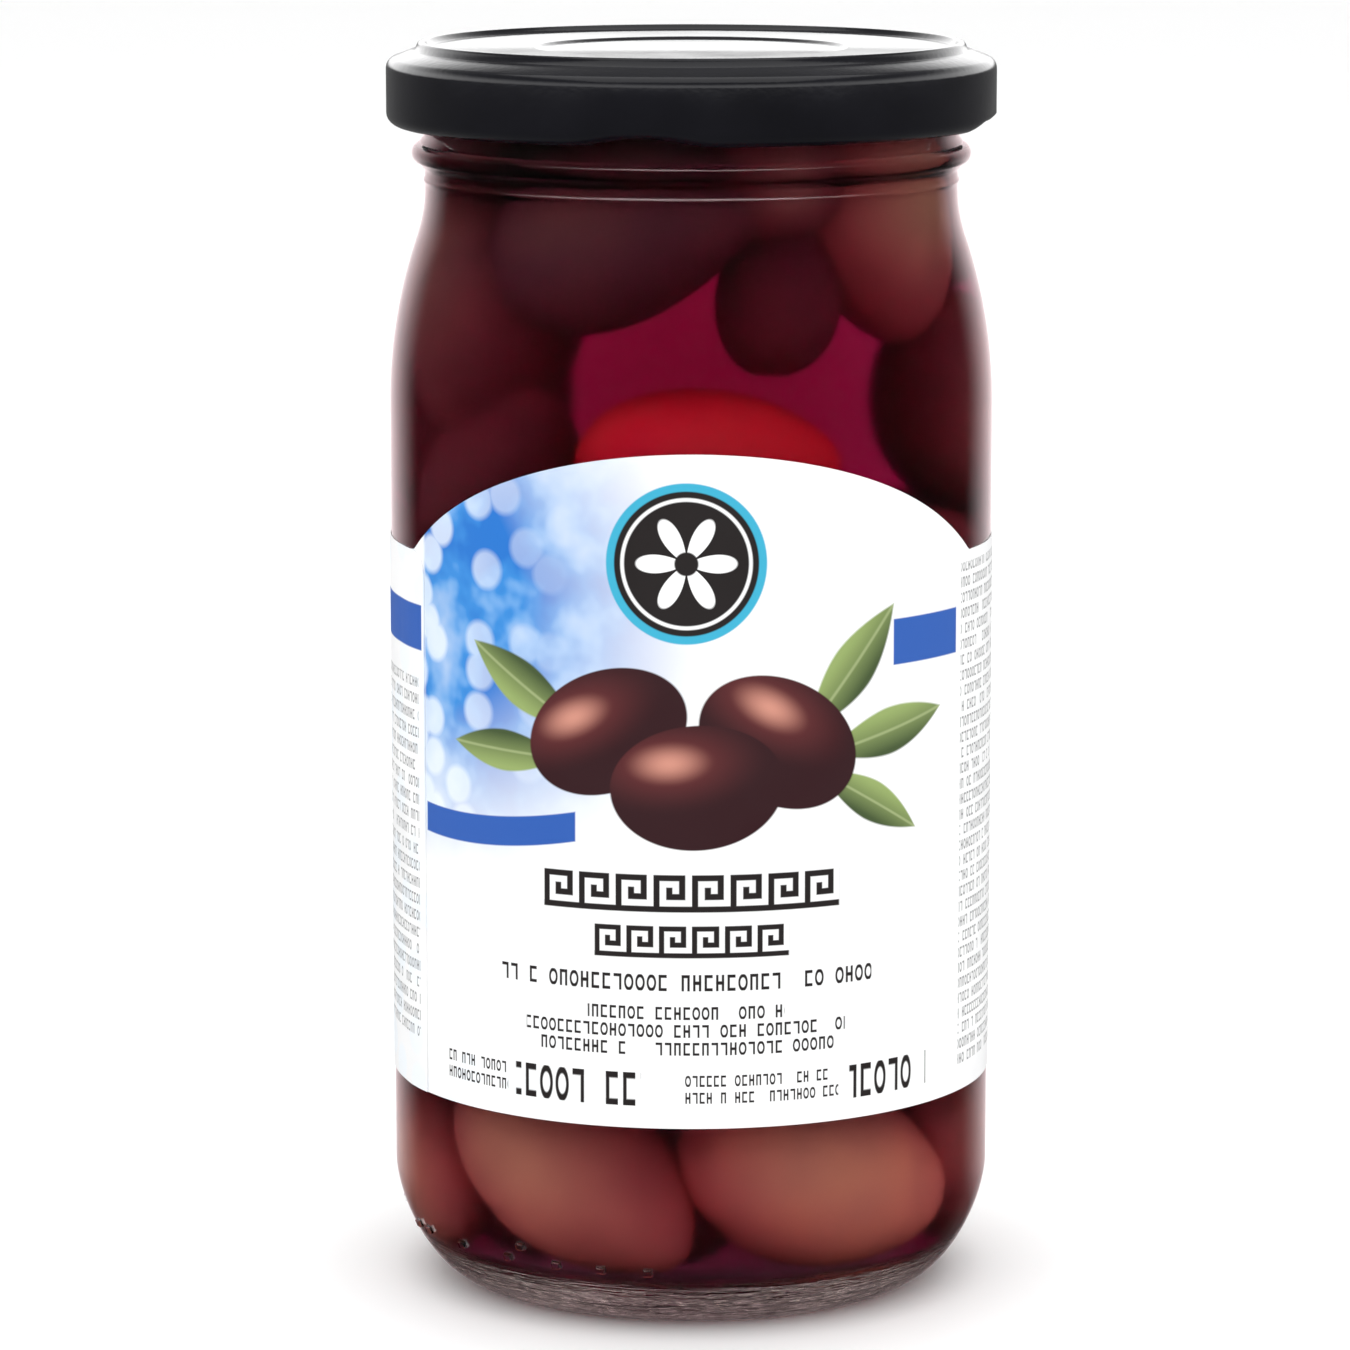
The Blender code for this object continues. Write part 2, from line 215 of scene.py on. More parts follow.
# Olive skins from dark to light, and enamel
SKIN_STOPS = (
    (0.0, (0.085, 0.022, 0.03)),
    (0.26, (0.17, 0.052, 0.045)),
    (0.52, (0.38, 0.16, 0.10)),
    (0.76, (0.57, 0.31, 0.16)),
    (1.0, (0.80, 0.45, 0.19)),
)
TIP_BROWN = (0.35, 0.2, 0.12)
SPECK_TAN = (0.6, 0.42, 0.3)
# Reds painted on one olive to stand in for the crimson glow of light through the brine
GLOW_REDS = ((0.95, 0.03, 0.07), (0.95, 0.10, 0.08))
SKIN_IOR = 1.14
ENAMEL_BLACKS = ((0.0035, 0.0035, 0.0055), (0.005, 0.005, 0.008))
ENAMEL_IOR = 1.36

# Paper and inks
PAPER_WHITES = ((0.90, 0.905, 0.91), (0.94, 0.94, 0.94))
PRINT_BLACK = (0.012, 0.008, 0.008)
FINE_GREY = (0.05, 0.05, 0.055)
BAND_BLUE = (0.022, 0.105, 0.44)
SKY_BLUE = (0.05, 0.31, 0.74)
DEEP_SKY = (0.01, 0.17, 0.60)
GLOW_WHITE = (0.86, 0.92, 0.97)
RING_TEAL = (0.04, 0.42, 0.62)
LEAF_GREENS = ((0.055, 0.09, 0.028), (0.30, 0.40, 0.13))
RIB_GREEN = (0.42, 0.5, 0.24)
PRINTED_SKINS = ((0.03, 0.003, 0.006), (0.13, 0.02, 0.022))
PRINTED_SHINE = (0.62, 0.27, 0.20)

# Where the print lies, in millimetres round the label from its front and up the jar.
# Bands and stripes are left, right, low and high.
HIGH_BANDS = ((24.0, 35.2), (-130.0, -36.3), (60.0, 130.0))
HIGH_BANDS_UP = (74.2, 79.3)
LOW_BAND = (-35.4, -13.0, 53.9, 57.2)
KEY_BANDS = ((-16.8, 16.8, 48.2, 52.4), (-10.8, 10.8, 43.1, 46.7))
STRIPES = (-98.0, -72.0, 34.0, 52.0)
STRIPES_PER_MM = 2.6

# The strokes of one key, in sixths of the band's height
KEY_STROKES = ((-0.2, 6.2, 0, 1), (0, 1, 0, 6), (0, 5, 5, 6), (4, 5, 2, 6), (2, 5, 2, 3), (2, 3, 2, 4))

# The badge's middle, and its discs from the back as radius and colour, where None is bare paper
BADGE_MIDDLE = (-0.6, 86.6)
BADGE_DISCS = ((8.8, RING_TEAL), (7.9, PRINT_BLACK), (7.2, None), (6.8, PRINT_BLACK))

# Leaves and printed olives: middle across and up, half length, half width and tilt
LEAVES = (
    (-19.5, 72.5, 8.0, 2.6, 148),
    (-22.0, 65.0, 7.5, 2.3, 178),
    (18.5, 74.5, 8.5, 2.8, 50),
    (23.5, 67.0, 8.5, 2.6, 12),
    (21.0, 59.5, 7.5, 2.2, -30),
)
PRINTED_OLIVES = (
    (-9.5, 68.0, 9.4, 6.6, 24),
    (9.8, 66.8, 9.6, 6.8, -28),
    (0.6, 62.0, 9.6, 6.9, 4),
)

# Rows of signs: left, right, low and high, then row pitch, sign height and width as a share of it
SIGN_ROWS = (
    (-22.5, 21.1, 39.4, 41.5, 3.0, 1.9, 0.66),
    (-11.6, 10.3, 36.2, 38.0, 3.0, 1.5, 0.68),
    (-19.1, 17.6, 34.2, 36.0, 3.0, 1.5, 0.68),
    (-17.4, 16.2, 32.2, 34.0, 3.0, 1.5, 0.68),
    (-31.1, -21.7, 26.8, 30.5, 1.9, 1.3, 0.6),
    (-20.6, -5.6, 26.4, 30.8, 5.2, 3.9, 0.5),
    (-0.9, 16.8, 26.8, 30.5, 1.9, 1.3, 0.6),
    (18.2, 29.6, 26.2, 31.0, 5.2, 3.9, 0.5),
)
FINE_ROWS = (
    (36.4, 60.0, 27.0, 84.0, 1.75, 1.2, 0.6),
    (-62.0, -37.2, 30.0, 71.0, 1.9, 1.2, 0.6),
    (66.0, 100.0, 30.0, 71.0, 2.1, 1.3, 0.6),
)

# Stage
FLOOR_HALF = 4.0
FLOOR_DROP = 0.1 * MM
FLOOR_WHITE = (0.93, 0.93, 0.93)
MIRROR_TINT = (1.0, 0.84, 0.86)
INSIDE_MIRROR = (0.08, 0.07, 0.07)
LIGHT_PLACE = (0.0, -0.1, 1.2)
LIGHT_AIM = (0.0, 0.0, 0.05)
LIGHT_SIDE = 1.4
LIGHT_WATTS = 9.0
CAMERA_PLACE = (-0.00183, -0.662, 0.1826)
CAMERA_DOWN = 9.77
LENS_MM = 157.1
SENSOR_MM = 36.0


def around(angle, radius, z):
    """The point at an angle round the jar, a distance from its axis and a height."""
    return Vector((radius * math.sin(angle), -radius * math.cos(angle), z))


def arc(centre_r, centre_z, radius, start, end, steps):
    """Points of an arc in a turned profile, with angles in degrees from straight outwards."""
    angles = [math.radians(start + (end - start) * i / steps) for i in range(steps + 1)]
    return [(centre_r + radius * math.cos(a), centre_z + radius * math.sin(a)) for a in angles]


def shoulder(offset, steps_low, steps_high):
    """The shoulder from the neck down to the body: a hollow arc that runs into a full one."""
    drop, rise = BODY_R - NECK_R, SHOULDER_TOP_Z - SHOULDER_Z
    hollow_arc = (drop * drop + rise * rise) / (2 * drop) - SHOULDER_ARC
    low_r, high_r = BODY_R - SHOULDER_ARC, NECK_R + hollow_arc
    lean = math.degrees(math.atan2(rise, high_r - low_r))
    high = arc(high_r, SHOULDER_TOP_Z, hollow_arc + offset, 180, 180 + lean, steps_high)
    low = arc(low_r, SHOULDER_Z, SHOULDER_ARC - offset, lean, 0, steps_low)
    return high + low[1:]


def soft_corner(foot_r, foot_z, wall_r, height, softness, steps):
    """A rounded corner from a wall down to a foot, fuller than a chamfer and flatter than an arc."""
    points = []
    for i in range(steps + 1):
        t = math.pi / 2 * (1 - i / steps)
        out = (wall_r - foot_r) * math.sin(t) ** softness
        points.append((foot_r + out, foot_z + height * (1 - math.cos(t) ** softness)))
    return points


def inner_line(grow):
    """The inside of the glass from the middle of its floor up to the neck; grow moves it into the wall."""
    floor_z = FLOOR_Z - grow
    floor = [
        (0, floor_z + FLOOR_DOME),
        (FLOOR_R * 0.35, floor_z + FLOOR_DOME * 0.93),
        (FLOOR_R * 0.7, floor_z + FLOOR_DOME * 0.6),
    ]
    heel = soft_corner(FLOOR_R, floor_z, BODY_R - WALL + grow, INNER_HEEL_H, 1.0, 14)[::-1]
    return floor + heel + shoulder(WALL - grow, 20, 14)[::-1]


INNER_WALL = [*inner_line(0)[3:], (NECK_R - WALL, RIM_Z)]


def glass_profile():
    """The jar's section from the middle of its floor, up the inside, over the rim and down outside."""
    inner_neck_r = NECK_R - WALL
    rim = arc(inner_neck_r + RIM_ROUND, RIM_Z - RIM_ROUND, RIM_ROUND, 180, 90, RIM_STEPS)
    rim += arc(FINISH_R - RIM_ROUND, RIM_Z - RIM_ROUND, RIM_ROUND, 90, 0, RIM_STEPS)
    finish = [(FINISH_R, BEAD_Z + 1.7 * BEAD_ROUND), (FINISH_R + 0.4 * MM, BEAD_Z + 1.25 * BEAD_ROUND)]
    bead = arc(BEAD_R - BEAD_ROUND, BEAD_Z, BEAD_ROUND, 80, -80, BEAD_STEPS)
    root = arc(NECK_R + ROOT_ROUND, BEAD_Z - 1.75 * BEAD_ROUND, ROOT_ROUND, 110, 180, 3)
    seam = arc(NECK_R - SEAM_RING_SUNK, SEAM_RING_Z, SEAM_RING_ROUND, 60, -60, 5)
    heel = soft_corner(FOOT_OUT_R, 0, BODY_R, HEEL_H, HEEL_SOFTNESS, 22)
    ring_r = (FOOT_OUT_R + FOOT_IN_R) / 2
    foot = [(ring_r, 0.0), (FOOT_IN_R, FOOT_RISE)]
    for i in range(FOOT_RINGS):
        share = (i + 1) / (FOOT_RINGS + 1)
        high = FIRST_RING_Z + (PUSH_UP - FIRST_RING_Z) * math.sin(math.pi / 2 * share)
        foot.append((FOOT_IN_R * (1 - share), high + (RING_DEEP if i % 2 else 0.0)))
    foot.append((0, PUSH_UP))
    outside = shoulder(0, 26, 16)
    return inner_line(0) + rim + finish + bead + root + seam + outside + heel + foot


def lid_profile():
    """The lid's section from the middle of its top, down the skirt, round the curl and back inside."""
    panel_z = LID_TOP_Z - PANEL_DROP
    ring = arc(RING_IN_R + RING_BEND, LID_TOP_Z - RING_BEND, RING_BEND, 150, 90, 4)
    ring += arc(RING_OUT_R - RING_BEND, LID_TOP_Z - RING_BEND, RING_BEND, 90, 20, 4)
    top = [
        (0, panel_z - BUTTON_DROP),
        (BUTTON_R, panel_z - BUTTON_DROP),
        (BUTTON_R + 0.8 * BUTTON_DROP, panel_z - 0.8 * BUTTON_DROP),
        (BUTTON_R + 1.6 * BUTTON_DROP, panel_z - 0.2 * BUTTON_DROP),
        (BUTTON_R + 2.6 * BUTTON_DROP, panel_z),
        (RING_IN_R - PANEL_DROP, panel_z),
        (RING_IN_R - 0.4 * PANEL_DROP, panel_z + 0.15 * PANEL_DROP),
        *ring,
        (RING_OUT_R + LEDGE_START, LEDGE_Z + 0.1 * MM),
        (RING_OUT_R + LEDGE_FLAT, LEDGE_Z),
    ]
    corner = arc(LID_R - LEDGE_ROUND, LEDGE_Z - 1.5 * LEDGE_ROUND, LEDGE_ROUND, 65, 0, 7)
    curl = [
        (LID_R - CURL_WIDE * (1 - r), LID_LOW_Z + CURL_HIGH * (1 + z))
        for r, z in arc(0, 0, 1, 0, -180, 14)
    ]
    skirt_in_r = LID_R - LID_SHEET
    inside = [
        (skirt_in_r - CURL_WIDE / 2, LID_LOW_Z + 2 * CURL_HIGH),
        (skirt_in_r, LID_LOW_Z + 2.4 * CURL_HIGH),
        (skirt_in_r, LEDGE_Z - 1.6 * LEDGE_ROUND),
        (RING_OUT_R, LEDGE_Z - LID_SHEET),
        (RING_OUT_R - LID_SHEET, LID_TOP_Z - LID_SHEET),
        (RING_IN_R, LID_TOP_Z - LID_SHEET),
        (RING_IN_R - PANEL_DROP, panel_z - LID_SHEET),
        (BUTTON_R + 2 * BUTTON_DROP, panel_z - LID_SHEET),
        (BUTTON_R, panel_z - BUTTON_DROP - LID_SHEET),
        (0, panel_z - BUTTON_DROP - LID_SHEET),
    ]
    return top + corner + curl + inside


def turned(profile, steps):
    """A bmesh of a profile spun once round the jar's axis, closed and facing outwards."""
    made = bmesh.new()
    points = [made.verts.new((r, 0, z)) for r, z in profile]
    edges = [made.edges.new(pair) for pair in zip(points, points[1:])]
    bmesh.ops.spin(
        made,
        geom=points + edges,
        cent=(0, 0, 0),
        axis=(0, 0, 1),
        angle=2 * math.pi,
        steps=steps,
        use_merge=True,
    )
    bmesh.ops.remove_doubles(made, verts=made.verts, dist=1e-6)
    bmesh.ops.recalc_face_normals(made, faces=made.faces)
    return made


def piece(name, made, stands_for=(), sharp=None):
    """A finished piece from a bmesh: smooth shaded, riding on the jar, with the CAD parts it stands for
    hidden.
    """
    mesh = bpy.data.meshes.new(name)
    made.to_mesh(mesh)
    made.free()
    mesh.shade_smooth()
    if sharp is not None:
        mesh.set_sharp_from_angle(angle=math.radians(sharp))
    obj = bpy.data.objects.new(name, mesh)
    bpy.context.scene.collection.objects.link(obj)
    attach(obj, "root")
    if stands_for:
        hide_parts(*stands_for)
    return obj


def make_glass():
    """The jar, with small dots cast on its heel. Its inner faces up to the brine are its second finish."""
    made = turned(glass_profile(), GLASS_STEPS)
    dots = []
    for angle, height in HEEL_DOTS:
        spot = around(math.radians(angle), DOTS_R, height * MM)
        near = min(made.faces, key=lambda f: (f.calc_center_median() - spot).length_squared)
        if near not in dots:
            dots.append(near)
    width = min(e.calc_length() for e in dots[0].edges)
    bmesh.ops.inset_individual(made, faces=dots, thickness=width * DOT_INSET, depth=DOT_RISE)
    for face in made.faces:
        x, y, z = face.calc_center_median()
        inside = math.hypot(x, y) < wall_radius(z) + BRINE_FACES_REACH
        if inside and BRINE_FACES_FROM_Z < z < BRINE_TOP_Z:
            face.material_index = 1
    return piece("glass_shell", made, ["glass_jar"], sharp=50)


def make_brine():
    """The brine, which reaches a little into the glass so that no air shows between them."""
    wall = inner_line(BRINE_INTO_WALL)
    top_r = wall[-1][0]
    made = turned([*wall, (top_r, BRINE_TOP_Z), (0, BRINE_TOP_Z)], GLASS_STEPS)
    return piece("brine", made, sharp=50)


def lug_share(angle):
    """1 in the middle of a lug of the lid, and 0 between the lugs."""
    spacing = 2 * math.pi / LUGS
    off = (angle - FIRST_LUG + spacing / 2) % spacing - spacing / 2
    if abs(off) >= LUG_HALF_WIDTH:
        return 0.0
    return math.cos(math.pi / 2 * off / LUG_HALF_WIDTH) ** 2


def make_lid():
    """The lid: a turned pressing whose curled edge is pushed up and in at each lug."""
    made = turned(lid_profile(), LID_STEPS)
    edge_z = LID_LOW_Z + CURL_HIGH
    for vertex in made.verts:
        x, y, z = vertex.co
        if z > edge_z:
            continue
        angle = math.atan2(x, -y)
        share = lug_share(angle)
        radius = math.hypot(x, y)
        low = (edge_z - z) / CURL_HIGH
        vertex.co = around(angle, radius - share * LUG_REACH * low, z + share * LUG_LIFT * low)
    return piece("twist_off_lid", made, ["lid"], sharp=60)


def label_top(angle):
    """The label's upper edge: an arch at the front, level behind, one round corner at the flap's end."""
    along = angle * BODY_R
    if abs(along) < ARCH_HALF_WIDTH:
        rise = ARCH_TOP_Z - LABEL_SIDE_Z
        arch_r = (ARCH_HALF_WIDTH**2 + rise**2) / (2 * rise)
        return ARCH_TOP_Z - arch_r + math.sqrt(arch_r**2 - along**2)
    to_end = (LABEL_END - angle) * BODY_R
    if to_end >= FLAP_CORNER:
        return LABEL_SIDE_Z
    return LABEL_SIDE_Z - FLAP_CORNER + math.sqrt(FLAP_CORNER**2 - (FLAP_CORNER - to_end) ** 2)


def label_radius(angle):
    """Where the label's inner face lies: on the glass, and over its own start at the flap."""
    rise = (angle - FLAP_RISE_FROM) / (FLAP_RISE_TO - FLAP_RISE_FROM)
    rise = min(max(rise, 0.0), 1.0)
    return BODY_R + PAPER_OFF_GLASS + rise * (PAPER + FLAP_OFF_PAPER)


def make_label():
    """One strip of paper from its hidden start round to the flap that laps over it."""
    made = bmesh.new()
    bmesh.ops.create_grid(made, x_segments=LABEL_COLUMNS, y_segments=LABEL_ROWS, size=0.5)
    end_part = 2 * FLAP_CORNER / BODY_R
    for vertex in made.verts:
        share = vertex.co.x + 0.5
        angle = LABEL_START + share * (LABEL_END - LABEL_START)
        to_end = LABEL_END - angle
        if to_end < end_part:
            angle = LABEL_END - end_part * (to_end / end_part) ** 1.6
        z = LABEL_LOW_Z + (vertex.co.y + 0.5) * (label_top(angle) - LABEL_LOW_Z)
        ripple = PAPER_RIPPLE * noise.noise(Vector((angle * 5, z * 60, 4.0)))
        vertex.co = around(angle, label_radius(angle) + max(ripple, 0.0), z)
    made.normal_update()
    bmesh.ops.solidify(made, geom=made.faces, thickness=-PAPER)
    bmesh.ops.recalc_face_normals(made, faces=made.faces)
    return piece("paper_label", made, ["label"], sharp=50)


def wall_radius(z):
    """Distance from the axis to the glass's inner face at a height."""
    if z <= INNER_WALL[0][1]:
        return FLOOR_R
    at = bisect.bisect_right(INNER_WALL, z, key=lambda point: point[1])
    (low_r, low_z), (high_r, high_z) = INNER_WALL[at - 1], INNER_WALL[min(at, len(INNER_WALL) - 1)]
    share = (z - low_z) / (high_z - low_z) if high_z > low_z else 0.0
    return low_r + (high_r - low_r) * min(share, 1.0)


def add_olive(heap, place, draw, tone, along):
    """One olive in the heap: a soft drawn-out shape with shallow dents, set against the glass."""
    angle, z, tilt, turn, reach, size, light = place
    angle, tilt, turn, z = math.radians(angle), math.radians(tilt), math.radians(turn), z * MM
    ball = bmesh.ops.create_uvsphere(heap, u_segments=OLIVE_SIDES, v_segments=OLIVE_RINGS, radius=1.0)
    verts = ball["verts"]
    length, width = OLIVE_LENGTH * size / 2, OLIVE_WIDTH * size / 2
    start = Vector((draw.uniform(0, 50), draw.uniform(0, 50), draw.uniform(0, 50)))
    bend = draw.uniform(-OLIVE_BEND, OLIVE_BEND)
    lean = Matrix.Rotation(turn, 3, "Z") @ Matrix.Rotation(-tilt, 3, "Y")
    lean = lean @ Matrix.Rotation(draw.uniform(0, 6.28), 3, "X")
    face = Matrix.Rotation(angle, 3, "Z")
    out = around(angle, 1.0, 0.0)
    centre_r = reach * (wall_radius(z) - width)
    for vertex in verts:
        y, w, x = vertex.co
        vertex[along] = x
        vertex[tone] = light
        unit = Vector((x, y, w))
        full = 1 - OLIVE_BELLY * x
        tip = OLIVE_POINT * max(x, 0.0) ** 6
        scar = OLIVE_SCAR * math.exp(-((x + 1) ** 2 + y * y + w * w) * 60)
        dents = 1 + OLIVE_DENTS * noise.noise(unit * 1.3 + start)
        dents += OLIVE_FINE_DENTS * noise.noise(unit * 4 + start)
        shaped = Vector(((x + tip + scar) * length, (y + bend * x * x) * full * width, w * full * width))
        vertex.co = face @ lean @ (shaped * dents) + out * centre_r + Vector((0, 0, z))
    excess = max(math.hypot(v.co.x, v.co.y) - wall_radius(v.co.z) for v in verts)
    snug = -(excess + OLIVE_CLEAR)
    shift = out * (snug if reach == 1 else min(snug, 0.0))
    lowest = min(v.co.z for v in verts)
    lift = max(0.0, FLOOR_Z + FLOOR_DOME + OLIVE_CLEAR - lowest)
    bmesh.ops.translate(heap, verts=verts, vec=shift + Vector((0, 0, lift)))


def make_olives():
    """All the olives as one piece; each point keeps its place along its olive and its olive's tone."""
    draw = random.Random(SEED)
    heap = bmesh.new()
    tone = heap.verts.layers.float.new("tone")
    along = heap.verts.layers.float.new("along")
    for place in OLIVES:
        add_olive(heap, place, draw, tone, along)
    bmesh.ops.recalc_face_normals(heap, faces=heap.faces)
    return piece("olive_heap", heap, ["olives"])


def make_heap_core():
    """The plain middle of the heap behind the label, where no olive can be seen."""
    profile = [(0, CORE_TOP_Z)]
    profile += arc(CORE_R - CORE_ROUND, CORE_TOP_Z - CORE_ROUND, CORE_ROUND, 90, 0, 6)
    profile += arc(CORE_R - CORE_ROUND, CORE_LOW_Z + CORE_ROUND, CORE_ROUND, 0, -90, 6)
    profile.append((0, CORE_LOW_Z))
    return piece("heap_core", turned(profile, CORE_STEPS), ["olives"])


# Wiring of materials


def wire(tree, value, socket):
    """Puts a plain value on a socket, or links another socket to it."""
    if isinstance(value, bpy.types.NodeSocket):
        tree.links.new(value, socket)
    elif isinstance(value, (tuple, list)) and socket.type == "RGBA" and len(value) == 3:
        socket.default_value = (*value, 1.0)
    else:
        socket.default_value = value


class Bench:
    """A short way to put nodes in one tree and wire them up."""

    def __init__(self, tree):
        self.tree = tree

    def add(self, kind, settings=None, **inputs):
        node = self.tree.nodes.new(kind)
        for name, value in (settings or {}).items():
            setattr(node, name, value)
        for name, value in inputs.items():
            wire(self.tree, value, node.inputs[name.replace("_", " ")])
        return node

    def math(self, operation, *values):
        node = self.tree.nodes.new("ShaderNodeMath")
        node.operation = operation
        for value, socket in zip(values, node.inputs):
            wire(self.tree, value, socket)
        return node.outputs[0]

    def plus(self, first, second):
        return self.math("ADD", first, second)

    def minus(self, first, second):
        return self.math("SUBTRACT", first, second)

    def times(self, first, second):
        return self.math("MULTIPLY", first, second)

    def divided(self, first, second):
        return self.math("DIVIDE", first, second)

    def power(self, value, exponent):
        return self.math("POWER", value, exponent)

    def larger(self, first, second):
        return self.math("MAXIMUM", first, second)

    def either(self, *masks):
        total = masks[0]
        for mask in masks[1:]:
            total = self.larger(total, mask)
        return total

    def size(self, value):
        return self.math("ABSOLUTE", value)

    def past(self, value, limit):
        return self.math("GREATER_THAN", value, limit)

    def span(self, value, low, high, to_low=0.0, to_high=1.0, kind="LINEAR"):
        node = self.add("ShaderNodeMapRange", {"interpolation_type": kind}, Value=value)
        for name, end in (("From Min", low), ("From Max", high), ("To Min", to_low), ("To Max", to_high)):
            wire(self.tree, end, node.inputs[name])
        return node.outputs[0]

    def mix(self, share, first, second, blend="MIX"):
        node = self.tree.nodes.new("ShaderNodeMix")
        node.data_type = "RGBA"
        node.blend_type = blend
        wire(self.tree, share, node.inputs[0])
        wire(self.tree, first, node.inputs[6])
        wire(self.tree, second, node.inputs[7])
        return node.outputs[2]

    def group(self, tree, **inputs):
        node = self.tree.nodes.new("ShaderNodeGroup")
        node.node_tree = tree
        for name, value in inputs.items():
            wire(self.tree, value, node.inputs[name.replace("_", " ")])
        return node

    def noise(self, place, scale, detail=2.0, roughness=0.5):
        inputs = {"Scale": scale, "Detail": detail, "Roughness": roughness}
        return self.add("ShaderNodeTexNoise", {"noise_dimensions": "3D"}, Vector=place, **inputs).outputs[0]

    def bump(self, strength, distance, height, **others):
        inputs = {"Strength": strength, "Distance": distance, "Height": height, **others}
        return self.add("ShaderNodeBump", **inputs).outputs[0]


def new_group(name, inputs, outputs):
    """An empty group with named number or colour sockets, and a bench to fill it."""
    tree = bpy.data.node_groups.new(name, "ShaderNodeTree")
    for label, value in inputs.items():
        kind = "NodeSocketVector" if isinstance(value, tuple) else "NodeSocketFloat"
        tree.interface.new_socket(name=label, in_out="INPUT", socket_type=kind).default_value = value
    for label in outputs:
        tree.interface.new_socket(name=label, in_out="OUTPUT", socket_type="NodeSocketFloat")
    bench = Bench(tree)
    return bench, tree.nodes.new("NodeGroupInput").outputs, tree.nodes.new("NodeGroupOutput").inputs


def label_place_group():
    """Object coordinates to millimetres round the jar from the front, and millimetres up it."""
    bench, given, out = new_group("label place", {"Place": (0.0, 0.0, 0.0)}, ["Across", "Up"])
    parts = bench.add("ShaderNodeSeparateXYZ", Vector=given["Place"]).outputs
    angle = bench.math("ARCTAN2", parts["X"], bench.times(parts["Y"], -1.0))
    wire(bench.tree, bench.times(angle, LABEL_R_MM), out["Across"])
    wire(bench.tree, bench.times(parts["Z"], 1000.0), out["Up"])
    return bench.tree


def block_group():
    """A printed block with soft edges."""
    sizes = {"Across": 0.0, "Up": 0.0, "Left": 0.0, "Right": 1.0, "Low": 0.0, "High": 1.0, "Soft": 0.08}
    bench, given, out = new_group("printed block", sizes, ["Mask"])
    beyond = []
    for value, start, end in (("Across", "Left", "Right"), ("Up", "Low", "High")):
        middle = bench.times(bench.plus(given[start], given[end]), 0.5)
        half = bench.times(bench.minus(given[end], given[start]), 0.5)
        beyond.append(bench.minus(bench.size(bench.minus(given[value], middle)), half))
    past = bench.larger(*beyond)
    soft = given["Soft"]
    mask = bench.span(past, soft, bench.times(soft, -1.0))
    wire(bench.tree, mask, out["Mask"])
    return bench.tree


def oval_group():
    """A printed oval, with its own coordinates from -1 to 1 for shading."""
    sizes = {
        "Across": 0.0, "Up": 0.0, "Middle across": 0.0, "Middle up": 0.0,
        "Half length": 1.0, "Half width": 1.0, "Tilt": 0.0, "Soft": 0.08,
    }
    bench, given, out = new_group("printed oval", sizes, ["Mask", "Along", "Over"])
    off_a = bench.minus(given["Across"], given["Middle across"])
    off_u = bench.minus(given["Up"], given["Middle up"])
    cos, sin = bench.math("COSINE", given["Tilt"]), bench.math("SINE", given["Tilt"])
    along = bench.plus(bench.times(off_a, cos), bench.times(off_u, sin))
    over = bench.minus(bench.times(off_u, cos), bench.times(off_a, sin))
    along = bench.divided(along, given["Half length"])
    over = bench.divided(over, given["Half width"])
    square = bench.plus(bench.times(along, along), bench.times(over, over))
    past = bench.times(bench.minus(bench.math("SQRT", square), 1.0), given["Half width"])
    mask = bench.span(past, given["Soft"], bench.times(given["Soft"], -1.0))
    for name, value in (("Mask", mask), ("Along", along), ("Over", over)):
        wire(bench.tree, value, out[name])
    return bench.tree


def leaf_group(oval):
    """A printed leaf: pointed at both ends, with a pale rib down its middle."""
    sizes = {
        "Across": 0.0, "Up": 0.0, "Middle across": 0.0, "Middle up": 0.0,
        "Half length": 6.0, "Half width": 2.0, "Tilt": 0.0,
    }
    bench, given, out = new_group("printed leaf", sizes, ["Mask", "Rib", "Over"])
    node = bench.group(oval, **{name: given[name] for name in sizes})
    along, over = node.outputs["Along"], node.outputs["Over"]
    edge = bench.minus(1.0, bench.power(bench.size(along), 1.8))
    past = bench.minus(bench.size(over), edge)
    mask = bench.span(past, 0.05, -0.05)
    rib = bench.span(bench.size(over), 0.10, 0.02)
    for name, value in (("Mask", mask), ("Rib", bench.times(rib, mask)), ("Over", over)):
        wire(bench.tree, value, out[name])
    return bench.tree


